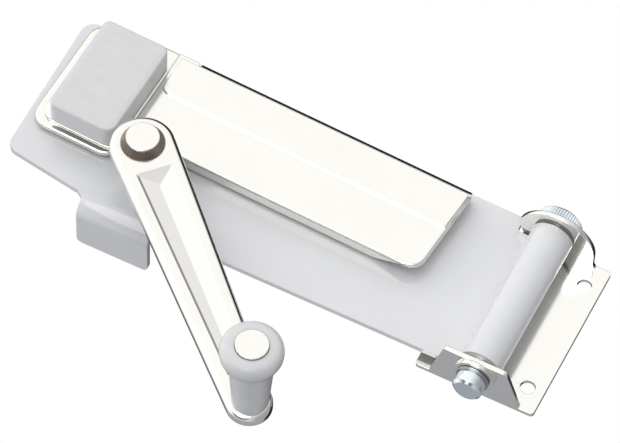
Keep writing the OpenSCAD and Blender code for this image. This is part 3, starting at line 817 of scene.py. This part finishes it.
@dataclass
class Crank(Part):
    """Crank arm on its shaft, with the knurled nut and the knob's stud."""

    body: str = "crank"
    axis: tuple[float, float] = (-128.5, -10.7)
    turn: float = 43.3
    length: float = 102.0
    hub_r: float = 10.8
    tip_r: float = 7.5
    tip_back: float = 0.9
    front: float = 27.6
    depth: float = 4.0
    sheet: float = 1.4
    edge: float = 2.2
    valley_from: float = 10.8
    valley_to: float = 91.0
    valley_wide: float = 6.1
    valley_narrow: float = 3.5
    valley_hip: float = 5.7
    valley_wall: float = 0.9
    valley_drop: float = 0.4
    valley_depth: float = 1.45
    nut_r: float = 7.5
    nut_top_r: float = 5.5
    nut_h: float = 3.6
    knurls: int = 52

    def place(self, level: float) -> Matrix:
        """Frame on the crank's axis, with local X along the arm."""
        return front_frame(*self.axis, level, self.turn)

    def arm_corners(self) -> list[Corner]:
        """Corners of the arm whose roundings make its two round ends."""
        tip = self.length - self.tip_back
        lean = (self.hub_r - self.tip_r) / tip
        cosine = math.sqrt(1 - lean * lean)
        left, right = -self.hub_r, tip + self.tip_r
        wide = (self.hub_r - left * lean) / cosine
        narrow = (self.hub_r - right * lean) / cosine
        big, small = self.hub_r * 0.999, self.tip_r * 0.999
        return [(left, -wide, big), (right, -narrow, small), (right, narrow, small), (left, wide, big)]

    def valley_ring(self, bm: bmesh.types.BMesh, start: float, end: float, wide: float, narrow: float,
                    level: float) -> list[bmesh.types.BMVert]:
        """Four corner points of the tapering valley at one depth.

        Args:
            bm: the arm's mesh.
            start: end of the valley near the hub.
            end: end of the valley near the tip.
            wide: half width at the start.
            narrow: half width at the end.
            level: height of the points.

        Returns:
            The points, in order round the valley.
        """
        spots = ((start, -wide), (end, -narrow), (end, narrow), (start, wide))
        return [bm.verts.new((x, y, level)) for x, y in spots]

    def arm(self) -> bpy.types.Object:
        """The pressed channel arm with its tapering valley.

        Returns:
            The arm.
        """
        form = Form()
        bm = form.mesh
        base = form.outline(self.arm_corners(), -self.depth, 24)
        bmesh.ops.remove_doubles(bm, verts=bm.verts[:], dist=0.06)
        front = form.raise_faces([base if base.is_valid else bm.faces[:][0]], self.depth - self.edge)
        form.shoulder(front, self.edge, 12)
        flat = max(bm.faces, key=lambda f: round(f.calc_center_median().z, 3))
        rim = list(flat.edges)
        bmesh.ops.delete(bm, geom=[flat], context="FACES_ONLY")
        start, end = self.valley_from, self.valley_to
        wide, narrow = self.valley_wide, self.valley_narrow
        corners = self.valley_ring(bm, start, end, wide, narrow, 0)
        mouth = [bm.edges.new((corners[i - 1], corners[i])) for i in range(4)]
        bmesh.ops.triangle_fill(bm, use_beauty=True, use_dissolve=True, edges=rim + mouth, normal=(0, 0, 1))
        inner_start, inner_end = start + self.valley_wall, end - self.valley_wall
        wide, narrow = wide - self.valley_wall, narrow - self.valley_wall
        floor = self.valley_ring(bm, inner_start, inner_end, wide, narrow, -self.valley_drop)
        for i in range(4):
            bm.faces.new((corners[i - 1], corners[i], floor[i], floor[i - 1]))
        low_start = bm.verts.new((start + self.valley_hip, 0, -self.valley_depth))
        low_end = bm.verts.new((end - self.valley_hip * 0.6, 0, -self.valley_depth))
        for ring in ((floor[3], floor[0], low_start), (floor[0], floor[1], low_end, low_start),
                     (floor[2], floor[3], low_start, low_end), (floor[1], floor[2], low_end)):
            bm.faces.new(ring)
        under = [f for f in bm.faces if f.calc_center_median().z < -self.depth + 0.01]
        bmesh.ops.delete(bm, geom=under, context="FACES_ONLY")
        for face in bm.faces:
            face.normal_update()
        turned = [f for f in bm.faces if f.normal.z < -0.5]
        bmesh.ops.reverse_faces(bm, faces=turned)
        arm = form.piece("crank_arm_pressed", self.place(self.front), 40)
        wall = arm.modifiers.new("sheet", "SOLIDIFY")
        wall.thickness = self.sheet * MM
        wall.offset = -1.0
        return arm

    def nut(self) -> bpy.types.Object:
        """The nut: a flat disc over a knurled cone.

        Returns:
            The nut.
        """
        form = Form()
        bm = form.mesh
        skirt_h = self.nut_h - 0.7
        count = self.knurls * 2
        cone = bmesh.ops.create_cone(bm, cap_ends=True, cap_tris=False, segments=count, radius1=self.nut_r,
                                     radius2=self.nut_top_r + 0.15, depth=skirt_h,
                                     matrix=Matrix.Translation((0, 0, skirt_h / 2)))
        for vert in cone["verts"]:
            tooth = round(math.atan2(vert.co.y, vert.co.x) / math.tau * count) % 2
            if tooth:
                bmesh.ops.scale(bm, verts=[vert], vec=(0.94, 0.94, 1))
        disc = Form()
        middle = Matrix.Translation((0, 0, self.nut_h - 0.6))
        bmesh.ops.create_cone(disc.mesh, cap_ends=True, cap_tris=False, segments=96, radius1=self.nut_top_r,
                              radius2=self.nut_top_r, depth=1.2, matrix=middle)
        disc.round_edges(lambda e: all(v.co.z > self.nut_h - 0.1 for v in e.verts), 0.25, 3)
        form.absorb(disc)
        form.close()
        # Faces of the skirt take the second material, the darker nickel copy that paints the knurl grooves'
        # shade.
        for face in form.mesh.faces:
            face.material_index = int(face.calc_center_median().z < skirt_h and face.normal.z < 0.95)
        return form.piece("crank_nut_knurled", self.place(self.front), 12)

    def build(self) -> None:
        """Builds every piece of the part."""
        self.show(self.arm(), Slot.NICKEL, ["crank_arm"])
        nut = self.nut()
        self.show(nut, Slot.NICKEL, ["crank_nut"])
        # Second material: darker nickel, painted shade of the knurl grooves.
        nut.data.materials.append(KNURL_SHADE.material())
        for node, slot in (
            ("crank_shaft", Slot.STEEL), ("shaft_sleeve", Slot.ZINC), ("feed_wheel", Slot.DARK_STEEL),
            ("feed_wheel_nut", Slot.ZINC), ("crank_lock_washer", Slot.STEEL), ("knob_stud", Slot.NICKEL),
            ("knob_washer", Slot.ZINC),
        ):
            self.keep(node, slot)


@dataclass
class Knob(Part):
    """Turned knob that spins on the crank's stud."""

    body: str = "knob"
    back: float = 28.4
    bore: float = 3.05
    profile: tuple[tuple[float, float], ...] = (
        (5.1, 0.0), (5.6, 0.15), (5.9, 0.5), (6.0, 1.0), (6.25, 6.0), (6.6, 12.0), (7.0, 18.0), (7.15, 21.0),
        (7.4, 22.6), (7.95, 24.0), (8.8, 25.2), (9.5, 26.2), (9.95, 27.4), (10.1, 28.7), (10.05, 29.8),
        (9.75, 30.9), (9.2, 31.75), (8.5, 32.25), (7.6, 32.52), (6.4, 32.6), (5.65, 32.6), (5.42, 32.45),
        (5.36, 32.1), (5.36, 31.5),
    )

    def knob(self) -> bpy.types.Object:
        """The turned knob.

        Returns:
            The knob.
        """
        form = Form()
        ring = [(self.bore, 31.5), (self.bore, 0.0), *self.profile, (self.bore, 31.5)]
        form.lathe(ring)
        form.close()
        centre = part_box("crank_knob")
        middle = (centre[0] + centre[1]) / 2 / MM
        return form.piece("crank_knob_turned", front_frame(middle.x, middle.z, self.back), 50)

    def build(self) -> None:
        """Builds every piece of the part."""
        self.show(self.knob(), Slot.KNOB, ["crank_knob"])


# ---------------------------------------------------------------- studio


@dataclass(frozen=True)
class Lobe:
    """A soft region of the surroundings with its own light."""

    towards: Point
    start: float
    end: float
    light: Colour


@dataclass
class Studio:
    """Pale floor, soft surroundings, the lamp and the camera."""

    eye: Point = (0.2859, -1.3641, -0.7963)
    ahead: Point = (-0.2224, 0.8411, 0.4931)
    right: Point = (0.8938, -0.0262, 0.4477)
    lens: float = 290.3
    floor_z: float = -3.2
    floor_size: float = 24.0
    base: Colour = (0.86, 0.86, 0.87)
    sun: float = 1.9
    sun_from: Point = (-0.15, -0.8, -0.55)
    lobes: list[Lobe] = field(default_factory=lambda: [
        Lobe((0.0, 1.0, -0.2), 0.15, 0.8, (0.40, 0.41, 0.44)),
        Lobe((1.0, 0.0, 0.0), 0.3, 0.9, (0.40, 0.41, 0.42)),
        Lobe((-1.0, -0.25, 0.1), 0.35, 0.85, (1.25, 1.25, 1.25)),
        Lobe((-0.22, -0.84, 0.49), 0.86, 0.975, (1.15, 1.15, 1.15)),
        Lobe((0.0, 0.5, 0.86), 0.42, 0.66, (0.015, 0.015, 0.017)),
        Lobe((-0.15, -0.45, -0.88), 0.78, 0.94, (0.15, 0.155, 0.17)),
    ])

    def lamp(self) -> None:
        """Adds the broad, soft lamp beside the camera."""
        data = bpy.data.lights.new("soft_lamp", "SUN")
        data.energy = self.sun
        data.angle = math.radians(50)
        lamp = bpy.data.objects.new("soft_lamp", data)
        lamp.rotation_euler = Vector(self.sun_from).to_track_quat("Z", "Y").to_euler()
        bpy.context.scene.collection.objects.link(lamp)

    def camera(self) -> None:
        """Makes the camera."""
        ahead, right = Vector(self.ahead).normalized(), Vector(self.right).normalized()
        up = right.cross(ahead).normalized()
        right = ahead.cross(up)
        data = bpy.data.cameras.new("camera")
        data.lens = self.lens
        data.sensor_width = 36.0
        data.clip_start, data.clip_end = 0.01, 100.0
        camera = bpy.data.objects.new("camera", data)
        turned = Matrix((right, up, -ahead)).transposed().to_4x4()
        camera.matrix_world = Matrix.Translation(Vector(self.eye)) @ turned
        bpy.context.scene.collection.objects.link(camera)
        bpy.context.scene.camera = camera

    def floor(self) -> None:
        """Lays a plain pale floor well below the part."""
        form = Form()
        bmesh.ops.create_grid(form.mesh, x_segments=1, y_segments=1, size=self.floor_size / 2)
        floor = form.piece("floor", Matrix.Translation((0, 0, self.floor_z)))
        material = bpy.data.materials.new("pale_floor")
        material.use_nodes = True
        sheet = NodeSheet(material.node_tree)
        cloud = sheet.noise(sheet.place(), 3, 3)
        colour = sheet.tint(cloud, (0.88, 0.88, 0.88), (0.92, 0.92, 0.92))
        shader = sheet.add("BsdfPrincipled", {"Base Color": colour, "Emission Color": colour})
        shader.inputs["Roughness"].default_value = 0.9
        shader.inputs["Emission Strength"].default_value = 0.3
        sheet.add("OutputMaterial", {"Surface": shader.outputs["BSDF"]})
        floor.data.materials.append(material)
        floor.visible_glossy = False
        floor.visible_diffuse = False

    def surroundings(self) -> None:
        """Lights the part softly from all round, with lobes brighter or darker than the rest."""
        world = bpy.data.worlds.new("studio")
        bpy.context.scene.world = world
        world.use_nodes = True
        sheet = NodeSheet(world.node_tree)
        where = sheet.add("TexCoord").outputs["Generated"]
        colour = sheet.add("RGB").outputs["Color"]
        colour.default_value = (*self.base, 1)
        for lobe in self.lobes:
            towards = Vector(lobe.towards).normalized()
            along = sheet.add("VectorMath", {0: where, 1: towards}, operation="DOT_PRODUCT")
            share = sheet.add(
                "MapRange", {"Value": along.outputs["Value"], "From Min": lobe.start, "From Max": lobe.end},
                interpolation_type="SMOOTHSTEP",
            )
            colour = sheet.tint(share.outputs["Result"], colour, lobe.light)
        seen = sheet.add("LightPath").outputs["Is Camera Ray"]
        lit = sheet.add("Background", {"Color": colour, "Strength": 1.0})
        plain = sheet.add("Background", {"Color": (1, 1, 1, 1), "Strength": 1.0})
        mixed = sheet.add("MixShader", {0: seen, 1: lit.outputs[0], 2: plain.outputs[0]})
        sheet.add("OutputWorld", {"Surface": mixed.outputs[0]})

    def build(self) -> None:
        """Makes the floor, the surroundings, the lamp and the camera."""
        self.floor()
        self.surroundings()
        self.lamp()
        self.camera()
        bpy.context.scene.view_settings.view_transform = "Standard"


def main() -> None:
    logging.basicConfig(level=logging.INFO, format="%(name)s: %(message)s")
    for part in (WallBracket(), Body(), Lever(), Cutter(), Crank(), Knob()):
        part.build()
    Studio().build()


if __name__ == "__main__":
    main()
